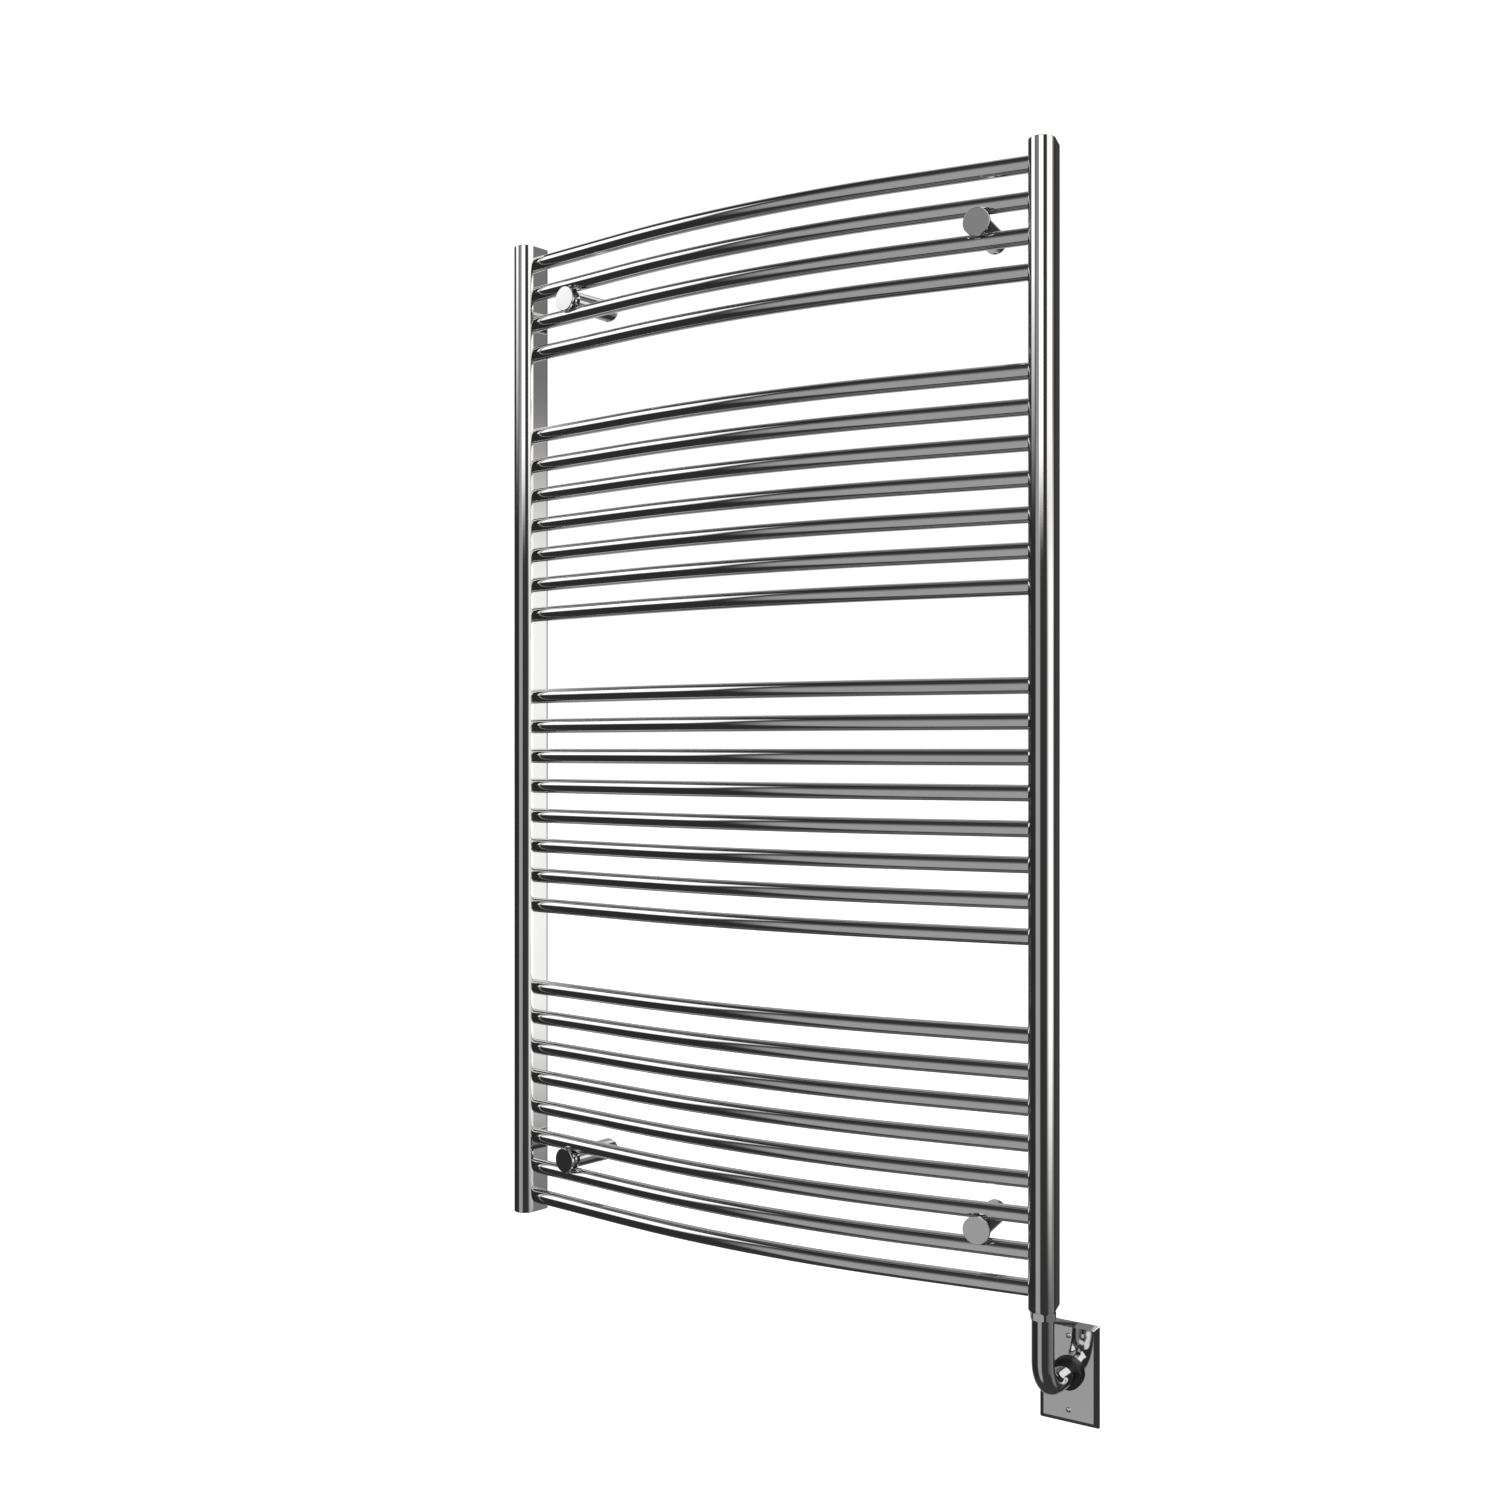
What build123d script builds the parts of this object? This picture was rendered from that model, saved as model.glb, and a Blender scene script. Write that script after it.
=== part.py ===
from build123d import *
import os
from math import atan2, cos, radians, sin, tan

# Electric ladder towel rail: two D-section posts joined by bowed round rails, held off the wall by
# four clamp brackets, with a J-shaped conduit from the right post to a single-gang cover plate.
# Millimetres. X runs to the right, Y towards the wall, Z up. Y = 0 is the wall's face, and the
# origin is the centre of the four wall fixings.

os.makedirs("parts", exist_ok=True)

# Rails
RAIL_GROUPS = (4, 7, 8, 8)          # rails in each group, from the top
PITCH = 39.4                        # from rail to rail inside a group
GROUP_PITCH = 2.75 * PITCH          # from the last rail of a group to the first of the next
RAIL_D = 18.8
RAIL_WALL = 1.2
BOW_RADIUS = 1450.0                 # of the middle of each rail, whose ends are straight
END_SLOPE = 7.8                     # degrees, the lean of the straight ends
RAIL_INSET = 3.0                    # a rail's end past the post's inner flat
HOLE_REACH = 10.0                   # how far a rail's hole is cut each side of that flat

# Posts
POST_SPACING = 720.0                # between the centres of the two round fronts
POST_R = 15.0                       # the round front, and half the width
POST_DEPTH = 42.0
POST_CORNER_R = 4.0
POST_WALL = 1.5
POST_TURN = 10.0                    # degrees, each round front turned outwards
POST_TO_WALL = 74.0                 # from the round front's centre to the wall
RAIL_ON_FLAT = 13.0                 # a rail's axis behind the round front's centre
POST_ABOVE_RAILS = 20.6             # above the top rail's axis
POST_BELOW_RAILS = 18.4
TOP_CAP = 2.5
BOTTOM_CAP = 5.0
SPIGOT = 3.5                        # how far a cap reaches into its post
SPIGOT_GAP = 0.1
CAP_EDGE_R = 0.8

# Brackets
FIXING_SPACING_X = 552.0
FIXING_HOLE_D = 5.5
STEM_REAR_R = 13.7
STEM_FRONT_R = 12.4
STEM_BORE_R = 10.5                  # the hollow rear end
STEM_BORE_DEPTH = 14.0
NECK_R = 9.6                        # passes between two rails
SADDLE_LEAP = 3.5                   # how far short of the rails' axes the stem's saddle ends
DISC_R = 15.6
DISC_T = 3.3
DISC_BOSS_R = 8.0
WASHER_R = 12.0
WASHER_T = 0.6
STUD_R = 4.0
STUD_LENGTH = 26.0
RUNNING_GAP = 0.05                  # radial
AXIAL_GAP = 0.3
SADDLE_GAP = 0.02                   # radial, between a stem's saddle and its rails
NECK_PAST_AXES = 2.0                # how far the neck reaches beyond the rails' axes
STUD_HOLE_SPARE = 4.0               # the stud's hole is this much longer than the stud
DISC_EDGE_R = 0.7
WASHER_GAP = 0.1
WALL_OVERRUN = 5.0                  # leaning pieces start this far behind the wall's face, then are cut
BASE_FLANGE_R = 12.0
BASE_FLANGE_T = 3.0
BASE_PLUG_R = 10.4
BASE_PLUG_LENGTH = 9.0
BASE_FLOOR = 4.0
BASE_POCKET_R = 7.5
GRUB_R = 2.0
GRUB_HEIGHT = 7.0                   # its axis above the wall
GRUB_BELOW_SKIN = 0.6               # its head under the stem's surface
GRUB_SOCKET_AF = 2.0
GRUB_SOCKET_DEPTH = 1.4

# Heating element, plugs and seals
ELEMENT_ON_FLAT = 6.0               # the element's axis behind the round front's centre
THREAD_R = 10.5
HEAD_FLANGE_R = 13.0
HEAD_FLANGE_T = 2.0
HEAD_INSIDE = 20.0
BOSS_R = 10.0
BOSS_LENGTH = 24.0                  # below the flange
LEAD_BORE_R = 4.2
LEAD_BORE_DEPTH = 22.0
ROD_R = 4.5
ROD_LENGTH = 1040.0
ROD_IN_HEAD = 8.0                   # length of the rod held in the head
ROD_TIP_R = 4.0
SEAL_R = 12.2
SEAL_T = 0.8
PLUG_HEAD_T = 1.5
PLUG_LENGTH = 12.0
SOCKET_AF = 10.0
SOCKET_DEPTH = 7.0

# Conduit and wall plate
NUT_AF = 27.0
NUT_HEIGHT = 9.0
NUT_GAP = 0.15
NUT_CHAMFER = 1.2
NUT_CORNER_R = 14.85                # the turned radius that takes off its corners
CONDUIT_R = 12.5
CONDUIT_WALL = 1.4
CONDUIT_BEND = 32.0
CONDUIT_THREAD = 12.0               # length of the reduced bore that turns on the boss
CONDUIT_BEHIND_WALL = 10.0
LEG_DROP = 90.0                     # from the post's bottom to the level leg's axis
LEG_SWING = 4.5                     # degrees outwards from straight back
LEAD_R = 3.5
PLATE_WIDTH = 69.85
PLATE_HEIGHT = 114.3
PLATE_DEPTH = 5.2
PLATE_T = 1.2
PLATE_BEVEL = 5.6                   # width of the bevel round its face
PLATE_RIM = 0.8                     # height of the upright rim under the bevel
PLATE_CORNER_R = 2.0
PLATE_FACE_CORNER_R = 0.8
PLATE_HOLE_R = 14.0
SCREW_SPACING = 83.3
SCREW_HOLE_R = 2.1
SCREW_SHANK_R = 1.75
SCREW_HEAD_R = 3.0
SCREW_HEAD_T = 1.7
SCREW_SLOT = 0.9
SCREW_SLOT_DEPTH = 0.8
SCREW_LENGTH = 20.0
GROMMET_R = 18.3
GROMMET_T = 6.0
GROMMET_NECK_R = 13.5
GROMMET_NECK = 3.0
GROMMET_EDGE_R = 1.5
LEAD_END_GAP = 1.0                  # between the lead's end and the bottom of its bore

# Heights, from the middle of the top and bottom rails
rail_heights = []
height = 0.0
for count in RAIL_GROUPS:
    for _ in range(count):
        rail_heights.append(height)
        height -= PITCH
    height += PITCH - GROUP_PITCH
middle = (rail_heights[0] + rail_heights[-1]) / 2
rail_heights = [z - middle for z in rail_heights]
post_top = rail_heights[0] + POST_ABOVE_RAILS
post_bottom = rail_heights[-1] - POST_BELOW_RAILS
upper_bracket = (rail_heights[1] + rail_heights[2]) / 2
lower_bracket = (rail_heights[-2] + rail_heights[-3]) / 2
leg_height = post_bottom - LEG_DROP

slope = radians(END_SLOPE)
turn = radians(POST_TURN)
post_x = POST_SPACING / 2
post_y = -POST_TO_WALL
arc_half = BOW_RADIUS * sin(slope)
arc_rise = BOW_RADIUS * (1 - cos(slope))

# Where a rail's axis meets the right post's inner flat
entry_x = post_x - POST_R * cos(turn) - RAIL_ON_FLAT * sin(turn)
entry_y = post_y - POST_R * sin(turn) + RAIL_ON_FLAT * cos(turn)
rail_front = entry_y - arc_rise - (entry_x - arc_half) * tan(slope)


def save(node, shape):
    """Write one node's solids."""
    shape.label = node
    export_step(shape, f"parts/{node}.step")


def ring(outer, inner, length):
    """A plain ring standing on the XY plane."""
    align = (Align.CENTER, Align.CENTER, Align.MIN)
    return Cylinder(outer, length, align=align) - Cylinder(inner, length, align=align)


def rod(radius, length):
    """A cylinder standing on the XY plane."""
    return Cylinder(radius, length, align=(Align.CENTER, Align.CENTER, Align.MIN))


def hexagon(across_flats, length):
    """A hexagonal bar standing on the XY plane, with two flats square to Y."""
    return extrude(RegularPolygon(across_flats / 2, 6, major_radius=False), length)


# Rails ---------------------------------------------------------------------------------------

def rail_path():
    """A rail's centreline at Z = 0: straight ends tangent to a wide arc."""
    end_x = entry_x + RAIL_INSET * cos(slope)
    end_y = entry_y + RAIL_INSET * sin(slope)
    arc_y = rail_front + arc_rise
    left = Line((-end_x, end_y), (-arc_half, arc_y))
    bow = ThreePointArc((-arc_half, arc_y), (0, rail_front), (arc_half, arc_y))
    right = Line((arc_half, arc_y), (end_x, end_y))
    return Wire([left, bow, right])


def make_rail():
    """One bowed round tube."""
    path = rail_path()
    start = Plane(origin=path @ 0, z_dir=path % 0)
    section = Circle(RAIL_D / 2) - Circle(RAIL_D / 2 - RAIL_WALL)
    return sweep(start * section, path=path)


# Posts and caps ------------------------------------------------------------------------------

def post_section(inset=0.0):
    """The D-shaped outline, moved inwards by inset. The round front's centre is the origin."""
    half = POST_R - inset
    back = POST_DEPTH - POST_R - inset
    corner = POST_CORNER_R - inset
    diagonal = corner * (1 - cos(radians(45)))
    front = ThreePointArc((-half, 0), (0, -half), (half, 0))
    right = Line((half, 0), (half, back - corner))
    right_corner = ThreePointArc(
        (half, back - corner), (half - diagonal, back - diagonal), (half - corner, back)
    )
    rear = Line((half - corner, back), (corner - half, back))
    left_corner = ThreePointArc(
        (corner - half, back), (diagonal - half, back - diagonal), (-half, back - corner)
    )
    left = Line((-half, back - corner), (-half, 0))
    return make_face([front, right, right_corner, rear, left_corner, left])


def post_frame(side, z):
    """The place of a post's section: side is 1 for the right post and -1 for the left."""
    return Location((side * post_x, post_y, z), (0, 0, side * POST_TURN))


def rail_hole(side, z):
    """The outside of a rail's straight end, to cut its hole in a post."""
    start = Vector(
        side * (entry_x - HOLE_REACH * cos(slope)), entry_y - HOLE_REACH * sin(slope), z
    )
    plane = Plane(origin=start, z_dir=(side * cos(slope), sin(slope), 0))
    return plane * rod(RAIL_D / 2, 2 * HOLE_REACH)


def make_post(side):
    """A hollow post with a hole for each rail in its inner flat."""
    length = post_top - TOP_CAP - post_bottom - BOTTOM_CAP
    profile = extrude(post_section() - post_section(POST_WALL), length)
    post = post_frame(side, post_bottom + BOTTOM_CAP) * profile
    return post - [rail_hole(side, z) for z in rail_heights]


def make_cap(thickness):
    """A cap lying on its outer face, with its spigot upwards."""
    slab = extrude(post_section(), thickness)
    slab = fillet(slab.edges().group_by(Axis.Z)[0], CAP_EDGE_R)
    spigot = Pos(0, 0, thickness) * extrude(post_section(POST_WALL + SPIGOT_GAP), SPIGOT)
    return slab + spigot


def make_bottom_cap(recess):
    """A bottom cap with a threaded hole and a recess for what screws into it."""
    hole = Pos(0, ELEMENT_ON_FLAT, 0) * rod(THREAD_R, BOTTOM_CAP + SPIGOT)
    seat = Pos(0, ELEMENT_ON_FLAT, 0) * rod(SEAL_R + SPIGOT_GAP, recess)
    return make_cap(BOTTOM_CAP) - hole - seat


# Brackets ------------------------------------------------------------------------------------

fixing_x = FIXING_SPACING_X / 2
straight_start = rail_front + arc_rise - arc_half * tan(slope)
axis_length = -(straight_start + fixing_x * tan(slope)) * cos(slope)   # from the wall to the rails
disc_seat = axis_length + RAIL_D / 2 + AXIAL_GAP                       # the washer's rear face


def bracket_frame(side, z):
    """A bracket's frame: its origin is the wall fixing, its Z points at the rails, its X up."""
    outwards = (side * sin(slope), -cos(slope), 0)
    return Plane(origin=(side * fixing_x, 0, z), x_dir=(0, 0, 1), z_dir=outwards)


def behind(height):
    """All the space nearer to the wall than a height above it."""
    return Pos(0, -height, 0) * Box(3000, 100, 3000, align=(Align.CENTER, Align.MIN, Align.CENTER))


def beyond(height):
    """All the space further from the wall than a height above it."""
    return Pos(0, -height, 0) * Box(3000, 200, 3000, align=(Align.CENTER, Align.MAX, Align.CENTER))


def bracket_rails(side, z, growth):
    """The two rails that a bracket holds, straight and slightly grown."""
    frame = bracket_frame(side, z)
    bars = []
    for offset in (-PITCH / 2, PITCH / 2):
        bar = Pos(offset, 0, axis_length) * Rot(90, 0, 0) * Cylinder(RAIL_D / 2 + growth, 80)
        bars.append(frame * bar)
    return bars


def make_stem(side, z):
    """The tapered body from the wall base to the rails, with a saddle for two rails."""
    frame = bracket_frame(side, z)
    saddle_end = axis_length - SADDLE_LEAP
    low = (Align.CENTER, Align.CENTER, Align.MIN)
    body = Cone(STEM_REAR_R, STEM_FRONT_R, saddle_end + WALL_OVERRUN, align=low)
    neck = Pos(0, 0, saddle_end) * rod(NECK_R, SADDLE_LEAP + NECK_PAST_AXES)
    hollow = rod(STEM_BORE_R, STEM_BORE_DEPTH + WALL_OVERRUN)
    stud_depth = STUD_LENGTH + STUD_HOLE_SPARE
    stud_top = axis_length + NECK_PAST_AXES
    stud_hole = Pos(0, 0, stud_top - stud_depth) * rod(STUD_R + RUNNING_GAP, stud_depth)
    grub_hole = Pos(0, 0, GRUB_HEIGHT) * Rot(0, -90, 0) * rod(GRUB_R, 2 * STEM_REAR_R)
    turned = Pos(0, 0, -WALL_OVERRUN) * (body - hollow)
    stem = frame * (turned + neck - stud_hole - grub_hole)
    return stem - bracket_rails(side, z, SADDLE_GAP) - behind(BASE_FLANGE_T)


def make_wall_base(side, z):
    """The small base that is screwed to the wall inside the stem's rear end."""
    frame = bracket_frame(side, z)
    start = frame * Pos(0, 0, -WALL_OVERRUN)
    flange = start * rod(BASE_FLANGE_R, 20) - beyond(BASE_FLANGE_T)
    plug = start * rod(BASE_PLUG_R, BASE_FLANGE_T + BASE_PLUG_LENGTH + WALL_OVERRUN)
    blank = flange + plug - behind(0)
    screw_axis = Plane(origin=(side * fixing_x, 0, z), z_dir=(0, -1, 0))
    pocket = screw_axis * Pos(0, 0, BASE_FLOOR) * rod(BASE_POCKET_R, 30)
    hole = screw_axis * rod(FIXING_HOLE_D / 2, 30)
    return blank - pocket - hole


def make_grub_screw(side, z):
    """The set screw under a stem that locks it to its base."""
    top = -BASE_PLUG_R
    length = STEM_REAR_R + top - GRUB_BELOW_SKIN
    socket = Pos(0, 0, length - GRUB_SOCKET_DEPTH) * hexagon(GRUB_SOCKET_AF, 2 * GRUB_SOCKET_DEPTH)
    screw = Pos(top, 0, GRUB_HEIGHT) * Rot(0, -90, 0) * (rod(GRUB_R, length) - socket)
    return bracket_frame(side, z) * screw


def make_disc(side, z):
    """The round clamp disc, with its boss and its threaded stud."""
    rear = disc_seat + WASHER_T + WASHER_GAP
    face = Pos(0, 0, rear) * chamfered_disc()
    boss_rear = axis_length + NECK_PAST_AXES + AXIAL_GAP
    boss = Pos(0, 0, boss_rear) * rod(DISC_BOSS_R, rear - boss_rear)
    stud = Pos(0, 0, boss_rear - STUD_LENGTH) * rod(STUD_R, STUD_LENGTH)
    return bracket_frame(side, z) * (face + boss + stud)


def chamfered_disc():
    """A clamp disc's face, its outer edges eased."""
    disc = rod(DISC_R, DISC_T)
    return fillet(disc.edges().group_by(Axis.Z)[-1], DISC_EDGE_R)


def make_washer(side, z):
    """The thrust washer between a clamp disc and the rails."""
    washer = Pos(0, 0, disc_seat) * ring(WASHER_R, DISC_BOSS_R + WASHER_GAP, WASHER_T)
    return bracket_frame(side, z) * washer


# Heating element -----------------------------------------------------------------------------

element_x = post_x - ELEMENT_ON_FLAT * sin(turn)
element_y = post_y + ELEMENT_ON_FLAT * cos(turn)


def under_post(side):
    """A frame on the bore of a post's bottom cap, its Z up."""
    return Location((side * element_x, element_y, post_bottom), (0, 0, side * POST_TURN))


def make_element_head():
    """The brass head that closes the right post, with its outer flange and threaded boss."""
    inside = rod(THREAD_R - RUNNING_GAP, HEAD_INSIDE)
    flange = Pos(0, 0, -HEAD_FLANGE_T) * rod(HEAD_FLANGE_R, HEAD_FLANGE_T)
    boss_end = HEAD_FLANGE_T + BOSS_LENGTH
    boss = Pos(0, 0, -boss_end) * rod(BOSS_R, BOSS_LENGTH)
    lead_bore = Pos(0, 0, -boss_end) * rod(LEAD_BORE_R, LEAD_BORE_DEPTH)
    rod_bore = Pos(0, 0, HEAD_INSIDE - ROD_IN_HEAD) * rod(ROD_R, ROD_IN_HEAD)
    return under_post(1) * (inside + flange + boss - lead_bore - rod_bore)


def make_element_rod():
    """The sheathed heating rod that stands inside the right post."""
    sheath = Pos(0, 0, HEAD_INSIDE - ROD_IN_HEAD) * rod(ROD_R, ROD_LENGTH)
    sheath = fillet(sheath.edges().group_by(Axis.Z)[-1], ROD_TIP_R)
    return under_post(1) * sheath


def make_seal(inner, top):
    """A flat sealing ring in a cap's recess, its upper face a height above the post's bottom."""
    return Pos(0, 0, top - SEAL_T) * ring(SEAL_R, inner, SEAL_T)


def make_plug():
    """The blanking plug, flush with the left post's bottom cap."""
    head = rod(SEAL_R, PLUG_HEAD_T)
    body = rod(THREAD_R - RUNNING_GAP, PLUG_LENGTH)
    return under_post(-1) * (head + body - hexagon(SOCKET_AF, SOCKET_DEPTH))


# Conduit and wall plate ----------------------------------------------------------------------

nut_top = HEAD_FLANGE_T + NUT_GAP
conduit_top = nut_top + NUT_HEIGHT + NUT_GAP
swing = Location((element_x, element_y, post_bottom), (0, 0, -LEG_SWING))
leg_run = (-element_y + CONDUIT_BEHIND_WALL) / cos(radians(LEG_SWING))
plate_x = element_x - element_y * tan(radians(LEG_SWING))
collar_start = -element_y / cos(radians(LEG_SWING)) - PLATE_DEPTH - GROMMET_T
bend_rise = CONDUIT_BEND * (1 - cos(radians(45)))       # the bend's middle from its square corner
lead_start = HEAD_FLANGE_T + BOSS_LENGTH - LEAD_BORE_DEPTH + LEAD_END_GAP


def j_path(top):
    """The J-shaped centreline: down from a depth below the post, round the bend, and back."""
    bend_start = (0, 0, CONDUIT_BEND - LEG_DROP)
    bend_middle = (0, bend_rise, bend_rise - LEG_DROP)
    bend_end = (0, CONDUIT_BEND, -LEG_DROP)
    down = Line((0, 0, -top), bend_start)
    bend = ThreePointArc(bend_start, bend_middle, bend_end)
    level = Line(bend_end, (0, leg_run, -LEG_DROP))
    return Wire([down, bend, level])


def swept_j(section, top):
    """A section swept along the J."""
    path = j_path(top)
    return sweep(Plane(origin=path @ 0, z_dir=path % 0) * section, path=path)


def make_conduit():
    """The bent tube, its upper end reduced to turn on the element head's boss."""
    tube = swept_j(Circle(CONDUIT_R) - Circle(CONDUIT_R - CONDUIT_WALL), conduit_top)
    sleeve = ring(CONDUIT_R - CONDUIT_WALL, BOSS_R + RUNNING_GAP, CONDUIT_THREAD)
    return swing * (tube + Pos(0, 0, -conduit_top - CONDUIT_THREAD) * sleeve)


def make_supply_lead():
    """The round supply lead inside the conduit, from the element head to the conduit's end."""
    return swing * swept_j(Circle(LEAD_R), lead_start)


def make_lock_nut():
    """The hexagonal nut that locks the conduit on the boss."""
    low = -nut_top - NUT_HEIGHT
    blank = Pos(0, 0, low) * hexagon(NUT_AF, NUT_HEIGHT)
    turned = Pos(0, 0, low) * rod(NUT_CORNER_R, NUT_HEIGHT)
    turned = chamfer(turned.edges().group_by(Axis.Z)[0], NUT_CHAMFER)
    turned = chamfer(turned.edges().group_by(Axis.Z)[-1], NUT_CHAMFER)
    bore = Pos(0, 0, low) * rod(BOSS_R + RUNNING_GAP, NUT_HEIGHT)
    nut = (blank & turned) - bore
    return Location((element_x, element_y, post_bottom)) * nut


def plate_frame():
    """The wall plate's frame: its origin on the wall, its Z towards the room, its Y up."""
    return Plane(origin=(plate_x, 0, leg_height), x_dir=(1, 0, 0), z_dir=(0, -1, 0))


def leg_rod(radius, start, length):
    """A cylinder along the conduit's level leg."""
    return swing * Pos(0, start, -LEG_DROP) * Rot(-90, 0, 0) * rod(radius, length)


def plate_blank(inset):
    """The plate's outside, moved inwards by inset: a low rim, a bevel and the flat face."""
    bevel_angle = atan2(PLATE_DEPTH - PLATE_RIM, PLATE_BEVEL)
    rim = PLATE_RIM - inset * tan((radians(90) - bevel_angle) / 2)
    shelf = PLATE_BEVEL + inset * tan(bevel_angle / 2)
    foot = RectangleRounded(
        PLATE_WIDTH - 2 * inset, PLATE_HEIGHT - 2 * inset, PLATE_CORNER_R - inset
    )
    face = RectangleRounded(PLATE_WIDTH - 2 * shelf, PLATE_HEIGHT - 2 * shelf, PLATE_FACE_CORNER_R)
    bevel = loft([Pos(0, 0, rim) * foot, Pos(0, 0, PLATE_DEPTH - inset) * face], ruled=True)
    return extrude(foot, rim) + bevel


def make_cover_plate():
    """The single-gang plate: a shallow pressed tray with a bevelled rim and three holes."""
    tray = plate_frame() * (plate_blank(0) - plate_blank(PLATE_T) - screw_places(rod(SCREW_HOLE_R, 10)))
    return tray - leg_rod(PLATE_HOLE_R, collar_start, leg_run)


def make_grommet():
    """The ring that closes the gap between the conduit and the plate."""
    front = Pos(0, 0, PLATE_DEPTH) * Box(
        2 * PLATE_WIDTH, PLATE_HEIGHT, PLATE_HEIGHT, align=(Align.CENTER, Align.CENTER, Align.MIN)
    )
    collar = leg_rod(GROMMET_R, collar_start, 2 * GROMMET_T)
    collar = fillet(collar.edges().group_by(Axis.Y)[0], GROMMET_EDGE_R) & (plate_frame() * front)
    neck = leg_rod(GROMMET_NECK_R, collar_start + GROMMET_T / 2, GROMMET_T / 2 + GROMMET_NECK)
    return collar + neck - leg_rod(CONDUIT_R + RUNNING_GAP, 0, 2 * leg_run)


def screw_places(shape):
    """A shape at each of the plate's two screws, in the plate's own frame."""
    return [Pos(0, y, 0) * shape for y in (-SCREW_SPACING / 2, SCREW_SPACING / 2)]


def make_plate_screws():
    """The two slotted screws of the wall plate, with domed heads."""
    dome_r = (SCREW_HEAD_R**2 + SCREW_HEAD_T**2) / (2 * SCREW_HEAD_T)
    head = Pos(0, 0, SCREW_HEAD_T - dome_r) * Sphere(dome_r) & rod(SCREW_HEAD_R, SCREW_HEAD_T)
    shank = Pos(0, 0, -SCREW_LENGTH) * rod(SCREW_SHANK_R, SCREW_LENGTH)
    slot = Pos(0, 0, SCREW_HEAD_T) * Box(3 * SCREW_HEAD_R, SCREW_SLOT, 2 * SCREW_SLOT_DEPTH)
    screw = Pos(0, 0, PLATE_DEPTH) * (head + shank - slot)
    return [plate_frame() * placed for placed in screw_places(screw)]


# Write every node ----------------------------------------------------------------------------

rail = make_rail()
for number, z in enumerate(rail_heights, 1):
    save(f"rail_{number:02d}", Pos(0, 0, z) * rail)

for name, side in (("left", -1), ("right", 1)):
    save(f"post_{name}", make_post(side))
    save(f"top_cap_{name}", post_frame(side, post_top) * mirror(make_cap(TOP_CAP), about=Plane.XY))

seal_right = SEAL_T
seal_left = SEAL_T + PLUG_HEAD_T
save("bottom_cap_left", post_frame(-1, post_bottom) * make_bottom_cap(seal_left))
save("bottom_cap_right", post_frame(1, post_bottom) * make_bottom_cap(seal_right))
save("blanking_plug", make_plug())
save("plug_seal", under_post(-1) * make_seal(THREAD_R, seal_left))
save("element_seal", under_post(1) * make_seal(THREAD_R, seal_right))
save("element_head", make_element_head())
save("element_rod", make_element_rod())

corners = {
    "upper_left": (-1, upper_bracket),
    "upper_right": (1, upper_bracket),
    "lower_left": (-1, lower_bracket),
    "lower_right": (1, lower_bracket),
}
for name, place in corners.items():
    save(f"bracket_stem_{name}", make_stem(*place))
    save(f"clamp_disc_{name}", make_disc(*place))
    save(f"clamp_washer_{name}", make_washer(*place))
save("wall_bases", Compound(children=[make_wall_base(*place) for place in corners.values()]))
save("grub_screws", Compound(children=[make_grub_screw(*place) for place in corners.values()]))

save("lock_nut", make_lock_nut())
save("conduit", make_conduit())
save("supply_lead", make_supply_lead())
save("cover_plate", make_cover_plate())
save("wall_grommet", make_grommet())
save("plate_screws", Compound(children=make_plate_screws()))

print(f"height {post_top - post_bottom:.1f}, width {2 * (post_x + POST_R):.1f}")
print(f"rails from {rail_heights[0]:.1f} to {rail_heights[-1]:.1f}, front axis {rail_front:.2f}")
print(f"brackets at {upper_bracket:.2f} and {lower_bracket:.2f}, axis length {axis_length:.2f}")
print(f"posts from {post_bottom:.1f} to {post_top:.1f}, element at {element_x:.2f}, {element_y:.2f}")
print(f"plate at {plate_x:.2f}, {leg_height:.2f}")
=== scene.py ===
import math

import bmesh
import bpy
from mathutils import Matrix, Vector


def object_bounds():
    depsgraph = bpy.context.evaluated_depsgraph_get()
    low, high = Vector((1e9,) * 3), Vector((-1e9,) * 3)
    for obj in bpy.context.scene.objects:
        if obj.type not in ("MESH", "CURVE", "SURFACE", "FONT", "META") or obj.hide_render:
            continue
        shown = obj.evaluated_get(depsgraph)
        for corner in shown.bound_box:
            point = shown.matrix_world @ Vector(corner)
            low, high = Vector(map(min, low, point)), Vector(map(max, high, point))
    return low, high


# A chrome ladder towel rail in a plain pale studio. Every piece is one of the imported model's own
# nodes. This script adds the camera, the light, the floor, the backdrop and the materials.
# Metres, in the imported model's frame.

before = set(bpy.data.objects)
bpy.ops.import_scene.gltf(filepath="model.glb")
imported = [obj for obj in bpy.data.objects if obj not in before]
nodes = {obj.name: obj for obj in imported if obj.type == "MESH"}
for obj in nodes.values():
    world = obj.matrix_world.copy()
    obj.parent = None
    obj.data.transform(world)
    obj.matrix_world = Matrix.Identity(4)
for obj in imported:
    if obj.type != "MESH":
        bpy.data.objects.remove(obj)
cad_low, cad_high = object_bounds()
scene = bpy.context.scene

# ---------------------------------------------------------------- camera
CAMERA_PLACE = (1.0055, -1.723, -0.02655)
CAMERA_TURN = math.radians(31.68)
CAMERA_LEVEL = math.radians(90.0)
LENS_MM = 38.54
SENSOR_MM = 36.0
CLIP_END = 200.0

camera_data = bpy.data.cameras.new("camera")
camera_data.lens = LENS_MM
camera_data.sensor_width = SENSOR_MM
camera_data.clip_end = CLIP_END
camera = bpy.data.objects.new("camera", camera_data)
camera.location = CAMERA_PLACE
camera.rotation_euler = (CAMERA_LEVEL, 0.0, CAMERA_TURN)
scene.collection.objects.link(camera)
scene.camera = camera


# ---------------------------------------------------------------- node helpers
MIX_FIRST = 6           # the colour sockets of a Mix node
MIX_SECOND = 7
MIX_RESULT = 2


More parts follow.
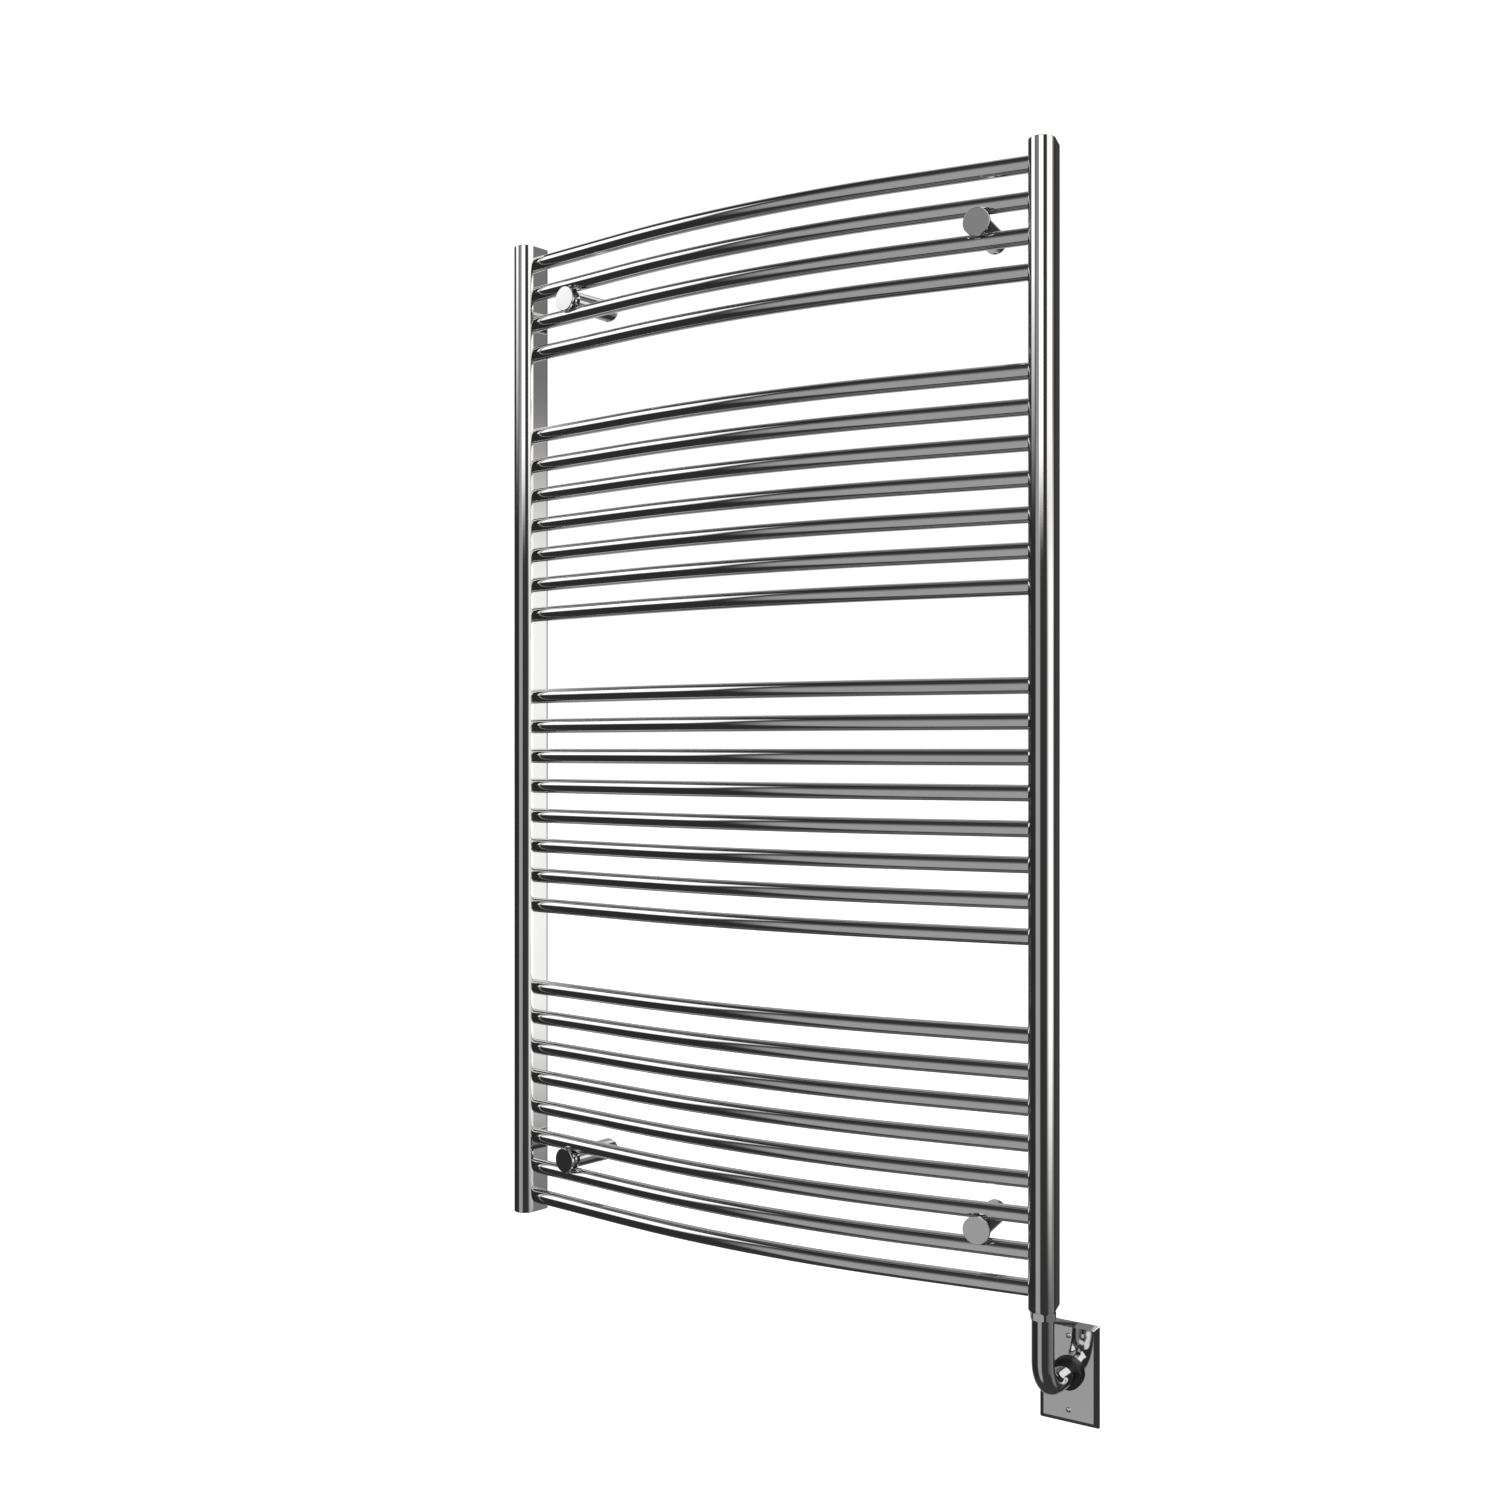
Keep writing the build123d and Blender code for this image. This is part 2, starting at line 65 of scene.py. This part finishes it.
def add(tree, kind, settings=None, **inputs):
    """One shader node, with its properties and its unlinked inputs set."""
    made = tree.nodes.new(kind)
    for key, value in (settings or {}).items():
        setattr(made, key, value)
    for key, value in inputs.items():
        made.inputs[key.replace("_", " ")].default_value = value
    return made


def math_node(tree, operation, *values):
    """A math node whose inputs are numbers or sockets."""
    made = add(tree, "ShaderNodeMath", {"operation": operation})
    for slot, value in enumerate(values):
        if isinstance(value, (int, float)):
            made.inputs[slot].default_value = value
        else:
            tree.links.new(value, made.inputs[slot])
    return made.outputs[0]


def map_range(tree, value, low, high, out_low, out_high, smooth=False):
    """Value scaled from low..high to out_low..out_high, held at its ends."""
    made = add(
        tree,
        "ShaderNodeMapRange",
        {"interpolation_type": "SMOOTHSTEP" if smooth else "LINEAR"},
        From_Min=low,
        From_Max=high,
        To_Min=out_low,
        To_Max=out_high,
    )
    tree.links.new(value, made.inputs["Value"])
    return made.outputs["Result"]


def edge(tree, value, place, softness, rising):
    """A soft step at a place: 0 to 1 if it is rising, otherwise 1 to 0."""
    start, finish = (0.0, 1.0) if rising else (1.0, 0.0)
    return map_range(tree, value, place - softness, place + softness, start, finish, smooth=True)


# ---------------------------------------------------------------- studio light
# The chrome reflects a ring of soft panels. Each panel lies over the ones before it. Azimuth is 0
# towards the room and +90 to the object's right. All angles are in degrees.
# azimuth, half width, side softness, elevation low, high, edge softness low, high, radiance
STUDIO = (
    # grey wall behind, to the left
    (-146.0, 27.0, 10.0, -38.0, 75.0, 14.0, 14.0, (0.48, 0.48, 0.48)),
    # dark walls to the left, to the right, and in front to the right
    (-71.0, 38.0, 9.0, -52.0, 74.0, 9.0, 12.0, (0.038, 0.038, 0.038)),
    (95.0, 84.0, 12.0, -60.0, 80.0, 14.0, 12.0, (0.052, 0.050, 0.048)),
    (24.0, 30.0, 10.0, -48.0, 80.0, 12.0, 12.0, (0.050, 0.049, 0.048)),
    # grey wall in front
    (-12.0, 19.0, 5.0, -67.5, 22.0, 9.0, 20.0, (0.50, 0.50, 0.50)),
    # high white panels in front and to the left
    (15.25, 17.75, 1.5, 9.0, 50.0, 2.5, 4.0, (1.9, 1.9, 1.88)),
    (-57.0, 17.0, 5.0, 13.5, 44.0, 6.0, 6.0, (1.9, 1.9, 1.9)),
    # dim glow behind to the right, high up
    (125.0, 12.0, 6.0, 5.0, 60.0, 5.0, 8.0, (0.26, 0.26, 0.26)),
    # to the right: a faint low glow, the level white panel and the dim patch below its end
    (103.0, 24.0, 12.0, -34.0, -10.0, 6.0, 4.0, (0.20, 0.20, 0.20)),
    (100.5, 27.5, 16.0, -14.3, 9.0, 5.5, 4.0, (1.75, 1.75, 1.73)),
    (127.0, 12.0, 6.0, -40.0, -12.3, 6.0, 4.0, (0.27, 0.27, 0.27)),
    # high warm white panel to the right
    (90.5, 26.5, 2.5, 8.0, 52.0, 4.0, 8.0, (1.64, 1.61, 1.56)),
    # high white panel behind
    (160.0, 45.0, 8.0, 46.0, 72.0, 4.0, 6.0, (1.4, 1.4, 1.4)),
)
STUDIO_BASE = 0.055
OVER_ONE = 1.0001       # keeps the level length above zero straight up and down
UNDER_ONE = 0.9999      # keeps the arccosine inside its range

world = bpy.data.worlds.new("studio")
scene.world = world
world.use_nodes = True
sky = world.node_tree
sky.nodes.clear()
direction = add(sky, "ShaderNodeTexCoord").outputs["Generated"]
split = add(sky, "ShaderNodeSeparateXYZ")
sky.links.new(direction, split.inputs[0])
east_part, north_part, up_part = split.outputs
elevation = math_node(sky, "DEGREES", math_node(sky, "ARCSINE", up_part))
up_squared = math_node(sky, "MULTIPLY", up_part, up_part)
level_length = math_node(sky, "SQRT", math_node(sky, "SUBTRACT", OVER_ONE, up_squared))
light = add(sky, "ShaderNodeRGB").outputs[0]
light.default_value = (STUDIO_BASE, STUDIO_BASE, STUDIO_BASE, 1.0)
for azimuth, half, side_soft, low, high, low_soft, high_soft, radiance in STUDIO:
    east = math.sin(math.radians(azimuth))
    north = -math.cos(math.radians(azimuth))
    northwards = math_node(sky, "MULTIPLY", north_part, north)
    along = math_node(sky, "MULTIPLY_ADD", east_part, east, northwards)
    cosine = math_node(sky, "MULTIPLY", math_node(sky, "DIVIDE", along, level_length), UNDER_ONE)
    apart = math_node(sky, "DEGREES", math_node(sky, "ARCCOSINE", cosine))
    across = edge(sky, apart, half, side_soft, rising=False)
    above = edge(sky, elevation, low, low_soft, rising=True)
    below = edge(sky, elevation, high, high_soft, rising=False)
    mask = math_node(sky, "MULTIPLY", across, math_node(sky, "MULTIPLY", above, below))
    mix = add(sky, "ShaderNodeMix", {"data_type": "RGBA"})
    sky.links.new(mask, mix.inputs["Factor"])
    sky.links.new(light, mix.inputs[MIX_FIRST])
    mix.inputs[MIX_SECOND].default_value = (*radiance, 1.0)
    light = mix.outputs[MIX_RESULT]
background = add(sky, "ShaderNodeBackground", Strength=1.0)
sky.links.new(light, background.inputs["Color"])
sky.links.new(background.outputs[0], add(sky, "ShaderNodeOutputWorld").inputs["Surface"])

scene.view_settings.view_transform = "Standard"
scene.view_settings.look = "None"


# ---------------------------------------------------------------- floor and backdrop
FLOOR_DROP = 0.12               # below the lowest point of the object
FLOOR_CELLS = 8
STAGE_REACH = 40.0
BACKDROP_SUBDIVISIONS = 4
STAGE_ROUGHNESS = 0.9


def glowing(name, emission, diffuse):
    """A white matt surface that gives off a little light of its own."""
    material = bpy.data.materials.new(name)
    material.use_nodes = True
    shader = material.node_tree.nodes["Principled BSDF"]
    shader.inputs["Base Color"].default_value = (diffuse, diffuse, diffuse, 1.0)
    shader.inputs["Roughness"].default_value = STAGE_ROUGHNESS
    shader.inputs["Specular IOR Level"].default_value = 0.0
    shader.inputs["Emission Color"].default_value = (1.0, 1.0, 1.0, 1.0)
    shader.inputs["Emission Strength"].default_value = emission
    return material


def stage_piece(name, form, material):
    """A floor or backdrop from a bmesh, that lights nothing and shows in no reflection."""
    mesh = bpy.data.meshes.new(name)
    form.to_mesh(mesh)
    form.free()
    mesh.materials.append(material)
    piece = bpy.data.objects.new(name, mesh)
    scene.collection.objects.link(piece)
    piece.visible_glossy = False
    piece.visible_diffuse = False
    piece.visible_transmission = False
    piece.visible_shadow = False


floor_form = bmesh.new()
bmesh.ops.create_grid(floor_form, x_segments=FLOOR_CELLS, y_segments=FLOOR_CELLS, size=STAGE_REACH)
bmesh.ops.translate(floor_form, verts=floor_form.verts, vec=(0.0, 0.0, cad_low.z - FLOOR_DROP))
stage_piece("floor", floor_form, glowing("floor_paint", 0.8, 0.85))

backdrop_form = bmesh.new()
bmesh.ops.create_icosphere(backdrop_form, subdivisions=BACKDROP_SUBDIVISIONS, radius=STAGE_REACH)
bmesh.ops.reverse_faces(backdrop_form, faces=backdrop_form.faces)
stage_piece("backdrop", backdrop_form, glowing("backdrop_paint", 1.05, 0.0))


# ---------------------------------------------------------------- materials
TONE_SPAN = (0.35, 0.65)        # the noise values that reach the lightest and darkest tones
GLOSS_SPAN = (0.3, 0.7)         # and those that reach the smoothest and dullest skin
CLOUD_SCALE = 9.0               # of the faint clouding in plated metal, per metre
WIPE_SCALE = 60.0               # of the wipe marks in its gloss
PEEL_SCALE = 420.0              # of the orange peel in its surface
PEEL_DEPTH = 0.0002
PATCH_PER_GRAIN = 0.1           # scale of a moulded skin's colour patches, as a part of its grain's
GRAIN_DEPTH = 0.0003
GRAIN_GLOSS = 0.07              # how far a moulded skin's roughness strays either way


def surface(name):
    """An empty node material with its shader and its object coordinates."""
    material = bpy.data.materials.new(name)
    material.use_nodes = True
    tree = material.node_tree
    shader = tree.nodes["Principled BSDF"]
    coordinates = add(tree, "ShaderNodeTexCoord").outputs["Object"]
    return material, tree, shader, coordinates


def noise(tree, coordinates, scale, detail=3.0, roughness=0.5, stretch=(1.0, 1.0, 1.0)):
    """Noise value at object coordinates scaled by stretch."""
    mapping = add(tree, "ShaderNodeMapping", Scale=stretch)
    tree.links.new(coordinates, mapping.inputs["Vector"])
    made = add(tree, "ShaderNodeTexNoise", Scale=scale, Detail=detail, Roughness=roughness)
    tree.links.new(mapping.outputs[0], made.inputs["Vector"])
    return made.outputs["Fac"]


def paint(tree, shader, value, light_tone, dark_tone):
    """Base colour between two tones by a noise value."""
    mix = add(tree, "ShaderNodeMix", {"data_type": "RGBA"})
    tree.links.new(map_range(tree, value, *TONE_SPAN, 0.0, 1.0), mix.inputs["Factor"])
    mix.inputs[MIX_FIRST].default_value = (*light_tone, 1.0)
    mix.inputs[MIX_SECOND].default_value = (*dark_tone, 1.0)
    tree.links.new(mix.outputs[MIX_RESULT], shader.inputs["Base Color"])


def gloss(tree, shader, value, smooth, dull):
    """Roughness between two values by a noise value."""
    tree.links.new(map_range(tree, value, *GLOSS_SPAN, smooth, dull), shader.inputs["Roughness"])


def relief(tree, shader, value, strength, depth):
    """Fine relief on the shader's normal."""
    made = add(tree, "ShaderNodeBump", Strength=strength, Distance=depth)
    tree.links.new(value, made.inputs["Height"])
    tree.links.new(made.outputs["Normal"], shader.inputs["Normal"])


def polished(name, light_tone, dark_tone, smooth, dull, peel, stretch=(1.0, 1.0, 1.0)):
    """Plated metal: faint clouding, wipe marks in its gloss and a very shallow orange peel."""
    material, tree, shader, place = surface(name)
    shader.inputs["Metallic"].default_value = 1.0
    paint(tree, shader, noise(tree, place, CLOUD_SCALE, detail=4.0), light_tone, dark_tone)
    wipe = noise(tree, place, WIPE_SCALE, detail=6.0, roughness=0.6, stretch=stretch)
    gloss(tree, shader, wipe, smooth, dull)
    relief(tree, shader, noise(tree, place, PEEL_SCALE, detail=2.0), peel, PEEL_DEPTH)
    return material


def moulded(name, light_tone, dark_tone, roughness, strength, scale):
    """Rubber, nylon or other moulded plastic with a fine grained skin."""
    material, tree, shader, place = surface(name)
    shader.inputs["Specular IOR Level"].default_value = 0.5
    paint(tree, shader, noise(tree, place, scale * PATCH_PER_GRAIN), light_tone, dark_tone)
    grain = noise(tree, place, scale, detail=4.0, roughness=0.6)
    gloss(tree, shader, grain, roughness - GRAIN_GLOSS, roughness + GRAIN_GLOSS)
    relief(tree, shader, grain, strength, GRAIN_DEPTH)
    return material


# Chrome plate, by slot: which way its wipe marks run
EVENLY = (1.0, 1.0, 1.0)
ALONG_X = (0.15, 1.0, 1.0)
ALONG_Z = (1.0, 1.0, 0.15)
CHROME = {
    "rail_chrome": ALONG_X,
    "post_chrome": ALONG_Z,
    "cap_chrome": EVENLY,
    "bracket_chrome": EVENLY,
    "disc_chrome": EVENLY,
    "plate_chrome": EVENLY,
    "conduit_chrome": EVENLY,
    "nut_chrome": EVENLY,
    "screw_chrome": EVENLY,
}
CHROME_TONES = ((0.63, 0.63, 0.632), (0.60, 0.601, 0.604))
CHROME_SKIN = (0.03, 0.07, 0.02)

# Other metals, by slot: light tone, dark tone, smoothest, dullest, orange peel
METALS = {
    "plug_chrome": (*CHROME_TONES, 0.08, 0.16, 0.02),
    "zinc_plate": ((0.62, 0.60, 0.52), (0.50, 0.50, 0.47), 0.22, 0.38, 0.1),
    "brass": ((0.64, 0.61, 0.55), (0.58, 0.55, 0.48), 0.10, 0.22, 0.05),   # nickel plated
    "element_sheath": ((0.45, 0.43, 0.41), (0.33, 0.30, 0.28), 0.25, 0.45, 0.1),
    "black_steel": ((0.06, 0.06, 0.065), (0.03, 0.03, 0.032), 0.3, 0.5, 0.08),
}

# Rubber and plastic, by slot: light tone, dark tone, roughness, relief, grain per metre
SKINS = {
    "black_rubber": ((0.014, 0.014, 0.015), (0.007, 0.007, 0.008), 0.42, 0.10, 900.0),
    "seal_rubber": ((0.03, 0.03, 0.031), (0.018, 0.018, 0.019), 0.6, 0.15, 1200.0),
    "lead_sheath": ((0.62, 0.62, 0.60), (0.54, 0.54, 0.52), 0.5, 0.10, 1500.0),
    "nylon": ((0.82, 0.81, 0.76), (0.74, 0.73, 0.68), 0.45, 0.08, 1100.0),
}

materials = {}
for name, stretch in CHROME.items():
    materials[name] = polished(name, *CHROME_TONES, *CHROME_SKIN, stretch=stretch)
for name, look in METALS.items():
    materials[name] = polished(name, *look)
for name, look in SKINS.items():
    materials[name] = moulded(name, *look)

for cad in nodes.values():
    for slot in cad.material_slots:
        slot.material = materials[slot.material.name.split(".")[0]]
